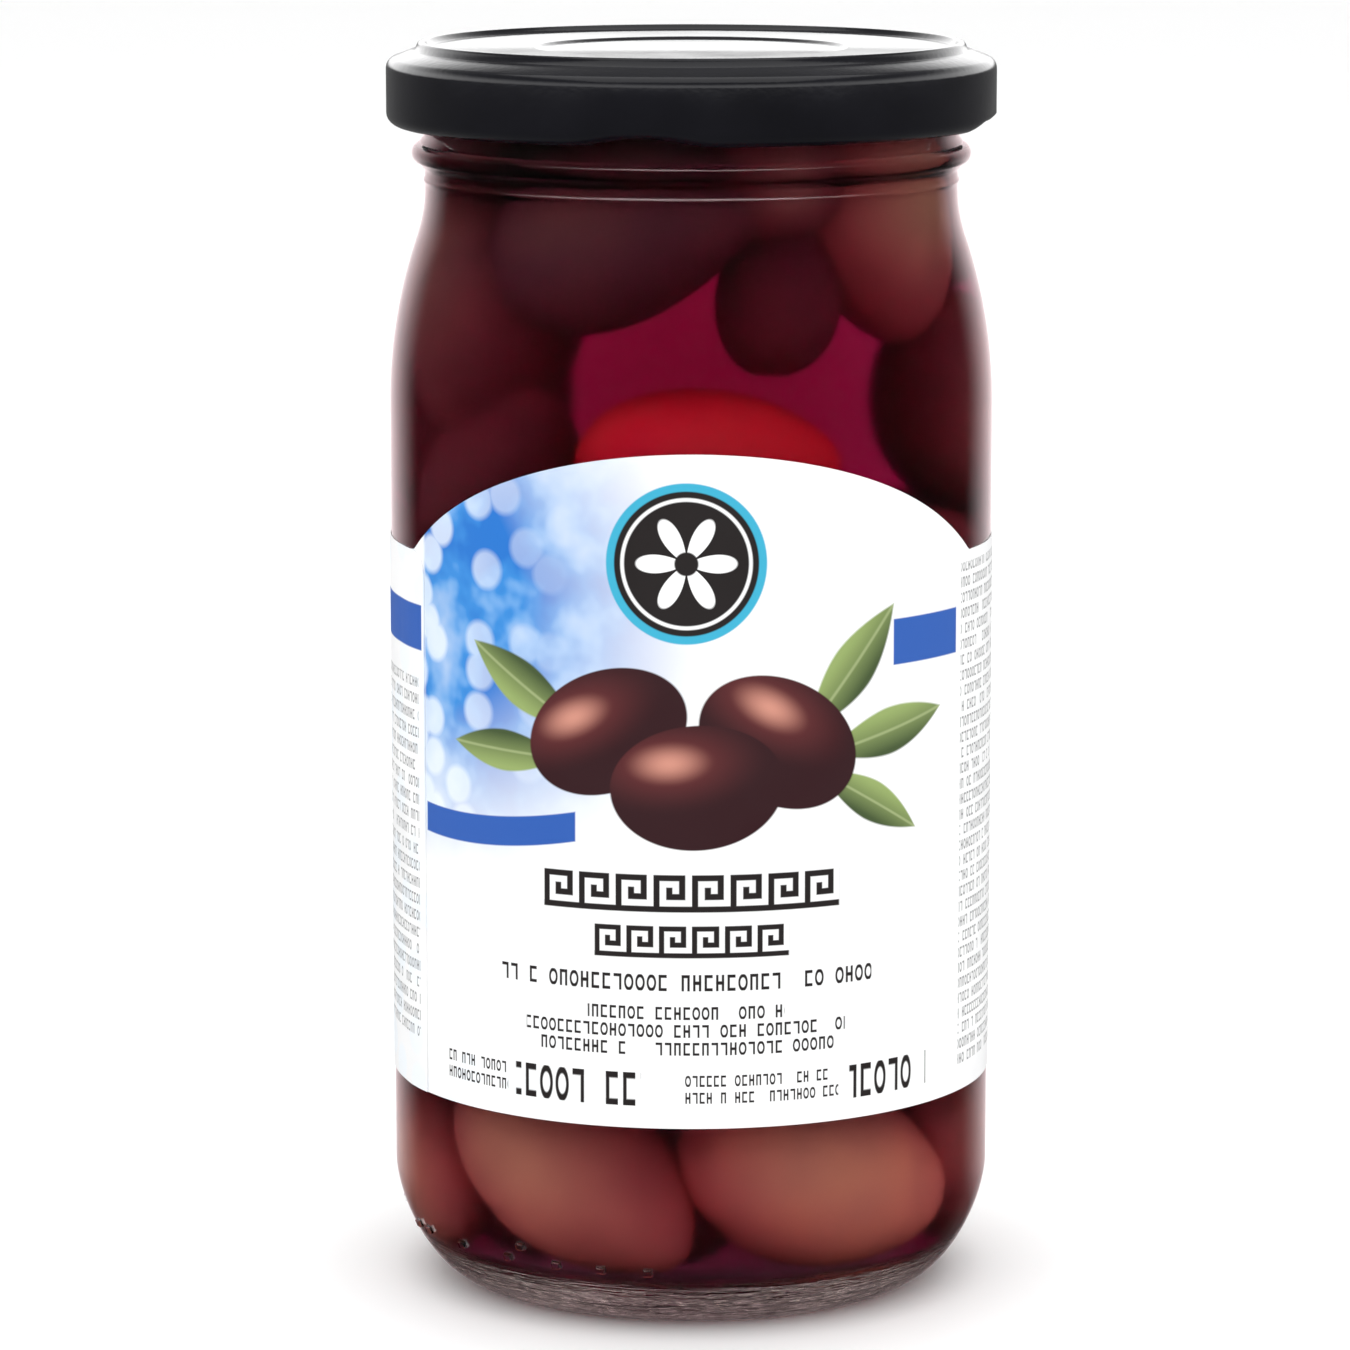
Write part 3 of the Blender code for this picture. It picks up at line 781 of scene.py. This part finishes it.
def sign_rows_group(block):
    """Rows of small made-up signs with gaps between them."""
    sizes = {
        "Across": 0.0, "Up": 0.0, "Left": 0.0, "Right": 10.0, "Low": 0.0, "High": 10.0,
        "Pitch": 1.8, "Thick": 0.6, "Wide": 0.68,
    }
    bench, given, out = new_group("small print", sizes, ["Mask"])
    sides = ("Across", "Up", "Left", "Right", "Low", "High")
    field = bench.group(block, **{name: given[name] for name in sides}).outputs[0]

    # u and v run from 0 to 1 over each sign, and the noise picks the sign for each seat
    run = bench.divided(given["Across"], bench.times(given["Thick"], given["Wide"]))
    column = bench.math("FLOOR", run)
    u = bench.minus(run, column)
    rise = bench.divided(bench.minus(given["Up"], given["Low"]), given["Pitch"])
    row = bench.math("FLOOR", rise)
    v = bench.divided(bench.times(bench.minus(rise, row), given["Pitch"]), given["Thick"])
    seed = bench.plus(bench.times(given["Low"], 7.3), row)
    seat = bench.add("ShaderNodeCombineXYZ", X=column, Y=bench.math("FLOOR", seed)).outputs[0]
    pick = bench.add("ShaderNodeTexWhiteNoise", {"noise_dimensions": "2D"}, Vector=seat).outputs["Value"]

    def stroke(value, middle):
        return bench.span(bench.size(bench.minus(value, middle)), 0.13, 0.08)

    def between(value, low, high):
        return bench.times(bench.past(value, low), bench.math("LESS_THAN", value, high))

    off_u = bench.power(bench.divided(bench.minus(u, 0.48), 0.33), 2.0)
    off_v = bench.power(bench.divided(bench.minus(v, 0.5), 0.40), 2.0)
    far = bench.math("SQRT", bench.plus(off_u, off_v))
    ring = bench.span(bench.size(bench.minus(far, 1.0)), 0.34, 0.2)
    left, right = stroke(u, 0.22), stroke(u, 0.72)
    inside_u, inside_v = between(u, 0.12, 0.82), between(v, 0.02, 0.98)
    low, middle, high = (bench.times(stroke(v, at), inside_u) for at in (0.1, 0.5, 0.9))
    signs = (
        (0.15, 0.4, (ring,)),
        (0.4, 0.6, (left, low, high)),
        (0.6, 0.75, (left, right, middle)),
        (0.75, 0.88, (right, high)),
        (0.88, 1.0, (left, right, high)),
    )
    drawn = [bench.times(between(pick, start, end), bench.either(*lines)) for start, end, lines in signs]
    mask = bench.times(bench.times(field, inside_v), bench.either(*drawn))
    wire(bench.tree, mask, out["Mask"])
    return bench.tree


def key_band_group(block):
    """A row of the old square key pattern between two heights."""
    sizes = {"Across": 0.0, "Up": 0.0, "Left": 0.0, "Right": 30.0, "Low": 0.0, "High": 4.0}
    bench, given, out = new_group("key band", sizes, ["Mask"])
    field = bench.group(block, **{name: given[name] for name in sizes})
    unit = bench.divided(bench.minus(given["High"], given["Low"]), 6.0)
    run = bench.divided(bench.minus(given["Across"], given["Left"]), unit)
    run = bench.math("FLOORED_MODULO", run, 6.0)
    rise = bench.divided(bench.minus(given["Up"], given["Low"]), unit)
    strokes = []
    for sides in KEY_STROKES:
        inputs = dict(zip(("Left", "Right", "Low", "High"), map(float, sides)))
        strokes.append(bench.group(block, Across=run, Up=rise, **inputs).outputs[0])
    wire(bench.tree, bench.times(bench.either(*strokes), field.outputs[0]), out["Mask"])
    return bench.tree


def speckle_group():
    """Fine specks and soft mottling, for skins and paper."""
    bench, given, out = new_group("specks", {"Place": (0.0, 0.0, 0.0), "Size": 1.0}, ["Mottle", "Specks"])
    scale = bench.divided(1.0, given["Size"])
    mottle = bench.noise(given["Place"], bench.times(scale, 160.0), 4.0, 0.55)
    inputs = {"Vector": given["Place"], "Scale": bench.times(scale, 900.0)}
    cells = bench.add("ShaderNodeTexVoronoi", {"voronoi_dimensions": "3D"}, **inputs).outputs
    wire(bench.tree, mottle, out["Mottle"])
    wire(bench.tree, bench.span(cells["Distance"], 0.32, 0.12), out["Specks"])
    return bench.tree


def finish_for(name):
    """A new material with its bench, its shader and its object coordinates."""
    made = bpy.data.materials.new(name)
    made.use_nodes = True
    bench = Bench(made.node_tree)
    shader = made.node_tree.nodes["Principled BSDF"]
    place = bench.add("ShaderNodeTexCoord").outputs["Object"]
    return made, bench, shader, place


def set_shader(shader, **values):
    """Sets or links the shader's inputs by their names."""
    for name, value in values.items():
        wire(shader.id_data, value, shader.inputs[name.replace("_", " ")])


def glass_finish(name, ior, roughness, foot_shade):
    """Clear flint glass, a little wavy, streaked at the foot, where its colour also turns browner and darker
    as painted shade.
    """
    made, bench, shader, place = finish_for(name)
    wave = bench.noise(place, 45.0, 1.0, 0.4)
    bump = bench.bump(0.05, 0.002, wave)
    flat = bench.add("ShaderNodeVectorMath", {"operation": "MULTIPLY"})
    wire(bench.tree, place, flat.inputs[0])
    wire(bench.tree, STREAK_STRETCH, flat.inputs[1])
    streaks = bench.noise(flat.outputs[0], 1500.0, 3.0, 0.6)
    height = bench.add("ShaderNodeSeparateXYZ", Vector=place).outputs["Z"]
    near_foot = bench.span(height, FOOT_STREAKS_AND_SHADE_FROM_Z, FOOT_STREAKS_AND_SHADE_FULL_Z)
    bump = bench.bump(bench.times(near_foot, 0.8), 0.0012, streaks, Normal=bump)
    # Towards the foot the glass's colour turns to the painted shade
    clear = bench.mix(near_foot, CLEAR_FLINT, foot_shade)
    set_shader(shader, Base_Color=clear, Roughness=roughness, IOR=ior, Transmission_Weight=1.0, Normal=bump)
    return made


def brine_finish():
    """Purple-red brine: clear in a thin layer and almost black across the jar."""
    made, bench, shader, _ = finish_for("olive brine")
    set_shader(shader, Base_Color=(1.0, 1.0, 1.0), Roughness=0.0, IOR=1.0, Transmission_Weight=1.0)
    soak = bench.add("ShaderNodeVolumeAbsorption", Color=BRINE_COLOUR, Density=BRINE_DENSITY)
    wire(bench.tree, soak.outputs[0], made.node_tree.nodes["Material Output"].inputs["Volume"])
    return made


def olive_finish(specks):
    """Olive skins from nearly black to pinkish brown, mottled, paler at their tips, and one red one whose
    red is a painted glow standing in for light through the brine.
    """
    made, bench, shader, place = finish_for("olive skin")
    tone = bench.add("ShaderNodeAttribute", {"attribute_name": "tone"}).outputs["Fac"]
    along = bench.add("ShaderNodeAttribute", {"attribute_name": "along"}).outputs["Fac"]
    marks = bench.group(specks, Place=place, Size=1.0).outputs
    patch = bench.noise(place, 70.0, 2.0, 0.5)
    # Tones from 1.15 up turn the skin to the painted red glow
    glow_share = bench.span(tone, 1.15, 1.25)
    shade = bench.plus(bench.times(tone, 0.9), bench.times(bench.minus(patch, 0.5), 0.4))
    shade = bench.plus(shade, bench.times(bench.minus(marks["Mottle"], 0.5), 0.25))
    ramp = bench.add("ShaderNodeValToRGB", Fac=shade)
    line = ramp.color_ramp.elements
    while len(line) < len(SKIN_STOPS):
        line.new(0.5)
    for stop, (at, colour) in zip(line, SKIN_STOPS):
        stop.position = at
        stop.color = (*colour, 1.0)
    tips = bench.span(bench.size(along), 0.9, 1.0)
    colour = bench.mix(bench.times(tips, 0.35), ramp.outputs[0], TIP_BROWN)
    colour = bench.mix(bench.times(marks["Specks"], 0.035), colour, SPECK_TAN)
    red = bench.mix(bench.span(patch, 0.35, 0.65), *GLOW_REDS)
    colour = bench.mix(glow_share, colour, red)
    bump = bench.bump(0.12, 0.0003, marks["Mottle"])
    roughness = bench.span(marks["Mottle"], 0.3, 0.7, 0.3, 0.42)
    set_shader(shader, Base_Color=colour, Roughness=roughness, IOR=SKIN_IOR, Normal=bump)
    return made


def lid_finish(specks):
    """Black enamel with a fine orange peel and slightly duller patches."""
    made, bench, shader, place = finish_for("black enamel")
    marks = bench.group(specks, Place=place, Size=2.0).outputs
    peel = bench.noise(place, 1400.0, 2.0, 0.5)
    colour = bench.mix(bench.span(marks["Mottle"], 0.35, 0.7), *ENAMEL_BLACKS)
    roughness = bench.span(marks["Mottle"], 0.3, 0.7, 0.14, 0.22)
    bump = bench.bump(0.08, 0.0002, peel)
    set_shader(shader, Base_Color=colour, Roughness=roughness, IOR=ENAMEL_IOR, Normal=bump)
    return made


def label_print(bench, place, paper):
    """Everything printed on the label, laid over the paper's colour from the back to the front."""
    spot = bench.group(label_place_group(), Place=place).outputs
    across, up = spot["Across"], spot["Up"]
    block = block_group()
    oval = oval_group()
    leaf = leaf_group(oval)
    rows = sign_rows_group(block)
    key = key_band_group(block)

    def field(group, left, right, low, high, **others):
        sides = {"Left": left, "Right": right, "Low": low, "High": high}
        return bench.group(group, Across=across, Up=up, **sides, **others).outputs[0]

    def shape(group, middle_a, middle_u, half_l, half_w, tilt=0.0, **others):
        return bench.group(
            group, Across=across, Up=up, Middle_across=middle_a, Middle_up=middle_u,
            Half_length=half_l, Half_width=half_w, Tilt=math.radians(tilt), **others,
        ).outputs

    def sign_rows(left, right, low, high, pitch, thick, wide):
        return field(rows, left, right, low, high, Pitch=pitch, Thick=thick, Wide=wide)

    # A blue wash with soft round lights, fading out towards the middle
    flat = bench.add("ShaderNodeCombineXYZ", X=across, Y=up).outputs[0]
    settings = {"noise_dimensions": "2D"}
    clouds = bench.add("ShaderNodeTexNoise", settings, Vector=flat, Scale=0.11, Detail=3.0).outputs[0]
    wash = shape(oval, -38.0, 84.0, 30.0, 24.0, -20, Soft=9.0)["Mask"]
    wash = bench.times(wash, bench.span(across, -36.0, -35.4))
    wash = bench.times(wash, bench.span(clouds, 0.25, 0.5, 0.6, 1.0))
    blue = bench.mix(bench.span(clouds, 0.42, 0.62), SKY_BLUE, DEEP_SKY)
    ink = bench.mix(wash, paper, blue)
    settings = {"voronoi_dimensions": "2D"}
    lights = bench.add("ShaderNodeTexVoronoi", settings, Vector=flat, Scale=0.17).outputs["Distance"]
    glow = bench.times(bench.span(lights, 0.42, 0.3), 0.65)
    ink = bench.mix(bench.times(glow, bench.span(across, -12.0, -30.0)), ink, GLOW_WHITE)

    # Plain bands: right of the front and round the back, and one that sags low on the left
    bands = [field(block, left, right, *HIGH_BANDS_UP, Soft=0.08) for left, right in HIGH_BANDS]
    sag = bench.times(bench.power(bench.plus(across, 30.0), 2.0), 0.006)
    left, right, low, high = LOW_BAND
    sides = {"Left": left, "Right": right, "Low": low, "High": high}
    bands.append(bench.group(block, Across=across, Up=bench.minus(up, sag), **sides).outputs[0])
    ink = bench.mix(bench.either(*bands), ink, BAND_BLUE)

    # A round badge with a plain six-petal flower
    for radius, colour in BADGE_DISCS:
        disc = shape(oval, *BADGE_MIDDLE, radius, radius, Soft=0.08)["Mask"]
        ink = bench.mix(disc, ink, colour or paper)
    flower = shape(oval, *BADGE_MIDDLE, 6.0, 6.0, Soft=0.08)
    turn = bench.math("ARCTAN2", flower["Over"], flower["Along"])
    reach = bench.size(bench.math("COSINE", bench.times(turn, 3.0)))
    far = bench.math("SQRT", bench.plus(bench.power(flower["Along"], 2.0), bench.power(flower["Over"], 2.0)))
    petals = bench.span(bench.minus(far, bench.times(reach, 0.92)), 0.02, -0.02)
    ink = bench.mix(petals, ink, paper)
    ink = bench.mix(shape(oval, *BADGE_MIDDLE, 1.3, 1.3, Soft=0.08)["Mask"], ink, PRINT_BLACK)

    # Leaves behind three olives
    for sizes in LEAVES:
        made = shape(leaf, *sizes)
        green = bench.mix(bench.span(made["Over"], -0.8, 0.8), *LEAF_GREENS)
        ink = bench.mix(made["Mask"], ink, green)
        ink = bench.mix(bench.times(made["Rib"], 0.6), ink, RIB_GREEN)
    for sizes in PRINTED_OLIVES:
        made = shape(oval, *sizes, Soft=0.08)
        off_a = bench.power(bench.plus(made["Along"], 0.3), 2.0)
        off_o = bench.power(bench.minus(made["Over"], 0.42), 2.0)
        far = bench.math("SQRT", bench.plus(off_a, bench.times(off_o, 2.0)))
        skin = bench.mix(bench.span(far, 1.2, 0.1, kind="SMOOTHSTEP"), *PRINTED_SKINS)
        skin = bench.mix(bench.span(far, 0.55, 0.0, kind="SMOOTHSTEP"), skin, PRINTED_SHINE)
        ink = bench.mix(made["Mask"], ink, skin)

    # Key bands, and rows of signs under them and on the label's sides
    words = [field(key, *sides) for sides in KEY_BANDS] + [sign_rows(*line) for line in SIGN_ROWS]
    ink = bench.mix(bench.either(*words), ink, PRINT_BLACK)
    fine = bench.either(*(sign_rows(*line) for line in FINE_ROWS))
    ink = bench.mix(bench.times(fine, 0.75), ink, FINE_GREY)

    # Upright stripes on the back
    step = bench.math("FLOOR", bench.times(across, STRIPES_PER_MM))
    stripes = bench.add("ShaderNodeTexWhiteNoise", {"noise_dimensions": "1D"}, W=step).outputs["Value"]
    stripes = bench.times(bench.past(stripes, 0.5), field(block, *STRIPES, Soft=0.08))
    return bench.mix(stripes, ink, PRINT_BLACK)


def label_finish(specks):
    """Coated paper: white, faintly fibrous, with a soft sheen and the print."""
    made, bench, shader, place = finish_for("printed label")
    marks = bench.group(specks, Place=place, Size=1.5).outputs
    paper = bench.mix(bench.span(marks["Mottle"], 0.3, 0.7), *PAPER_WHITES)
    colour = label_print(bench, place, paper)
    creases = bench.noise(place, 60.0, 3.0, 0.5)
    grain = bench.noise(place, 2500.0, 2.0, 0.6)
    height = bench.plus(creases, bench.times(grain, 0.05))
    bump = bench.bump(0.15, 0.0006, height)
    roughness = bench.span(marks["Mottle"], 0.3, 0.7, 0.38, 0.5)
    set_shader(shader, Base_Color=colour, Roughness=roughness, Specular_IOR_Level=0.3, Normal=bump)
    return made


def dress(obj, *finishes):
    """Gives a piece its materials in order."""
    for finish in finishes:
        obj.data.materials.append(finish)


def make_floor():
    """A plain pale floor that glossy things don't mirror."""
    made = bmesh.new()
    bmesh.ops.create_grid(made, x_segments=2, y_segments=2, size=FLOOR_HALF)
    mesh = bpy.data.meshes.new("floor")
    made.to_mesh(mesh)
    made.free()
    floor = bpy.data.objects.new("floor", mesh)
    floor.location.z = -FLOOR_DROP
    bpy.context.scene.collection.objects.link(floor)
    floor.visible_glossy = False
    finish, _, shader, _ = finish_for("pale floor")
    set_shader(shader, Base_Color=FLOOR_WHITE, Roughness=0.7)
    dress(floor, finish)


def make_world():
    """White all round, with other tones for what the lid and the glass mirror."""
    world = bpy.data.worlds.new("studio")
    bpy.context.scene.world = world
    world.use_nodes = True
    bench = Bench(world.node_tree)
    light = world.node_tree.nodes["Background"]
    path = bench.add("ShaderNodeLightPath").outputs
    place = bench.add("ShaderNodeTexCoord").outputs["Generated"]
    way = bench.add("ShaderNodeSeparateXYZ", Vector=place).outputs
    height, depth = way["Z"], way["Y"]

    # Soft mirrors see a band of light, and the smooth glass sees a bright back and top
    glare = bench.span(height, 0.02, 0.1, 0.2, 2.9, "SMOOTHSTEP")
    soft_mirror = bench.math("MINIMUM", glare, bench.span(height, 0.3, 0.6, 2.9, 0.3))
    back = bench.span(depth, 0.6, 0.96, 0.0, 1.3, "SMOOTHSTEP")
    sharp_mirror = bench.plus(back, bench.span(height, 0.6, 0.8, 0.0, 9.0))
    sharp_mirror = bench.times(sharp_mirror, bench.span(height, -0.36, -0.18, 0.1, 1.0))
    sharp_mirror = bench.mix(1.0, sharp_mirror, MIRROR_TINT, "MULTIPLY")
    mirrored = bench.mix(path["Is Singular Ray"], soft_mirror, sharp_mirror)

    # What is mirrored from inside the glass is dark, and light that comes in through it is raised
    inside = bench.past(path["Transmission Depth"], 0.5)
    mirrored = bench.mix(inside, mirrored, INSIDE_MIRROR)
    passing = path["Is Transmission Ray"]
    reflected = bench.times(path["Is Glossy Ray"], bench.minus(1.0, passing))
    lit = bench.times(passing, bench.past(path["Diffuse Depth"], 0.5))
    shade = bench.mix(reflected, bench.span(lit, 0.0, 1.0, 1.0, 1.8), mirrored)
    wire(world.node_tree, shade, light.inputs["Color"])
    light.inputs["Strength"].default_value = 1.0


def make_light():
    """A large soft light above the jar, a little to the front."""
    lamp = bpy.data.lights.new("top light", "AREA")
    lamp.shape = "RECTANGLE"
    lamp.size = lamp.size_y = LIGHT_SIDE
    lamp.energy = LIGHT_WATTS
    light = bpy.data.objects.new("top light", lamp)
    bpy.context.scene.collection.objects.link(light)
    light.location = LIGHT_PLACE
    way = Vector(LIGHT_AIM) - Vector(LIGHT_PLACE)
    light.rotation_euler = way.to_track_quat("-Z", "Y").to_euler()


def make_camera():
    """The photograph's viewpoint: 66 cm away, looking down by 9.8 degrees."""
    lens = bpy.data.cameras.new("camera")
    lens.sensor_width = SENSOR_MM
    lens.lens = LENS_MM
    camera = bpy.data.objects.new("camera", lens)
    bpy.context.scene.collection.objects.link(camera)
    camera.location = CAMERA_PLACE
    camera.rotation_euler = (math.radians(90 - CAMERA_DOWN), 0, 0)
    bpy.context.scene.camera = camera


def main():
    """The jar with its contents, lid and label, and then the stage."""
    specks = speckle_group()
    # The inner face meets brine, so it bends light by the step from glass to brine alone
    outer = glass_finish("flint glass", GLASS_IOR, 0.0, OUTER_FOOT_SHADE)
    inner = glass_finish("flint glass on brine", GLASS_IOR / BRINE_IOR, BRINE_FACE_ROUGHNESS, INNER_FOOT_SHADE)
    dress(make_glass(), outer, inner)
    dress(make_brine(), brine_finish())
    skin = olive_finish(specks)
    dress(make_olives(), skin)
    dress(make_heap_core(), skin)
    dress(make_lid(), lid_finish(specks))
    dress(make_label(), label_finish(specks))
    make_floor()
    make_world()
    make_light()
    make_camera()
    bpy.context.scene.view_settings.view_transform = "Standard"


main()
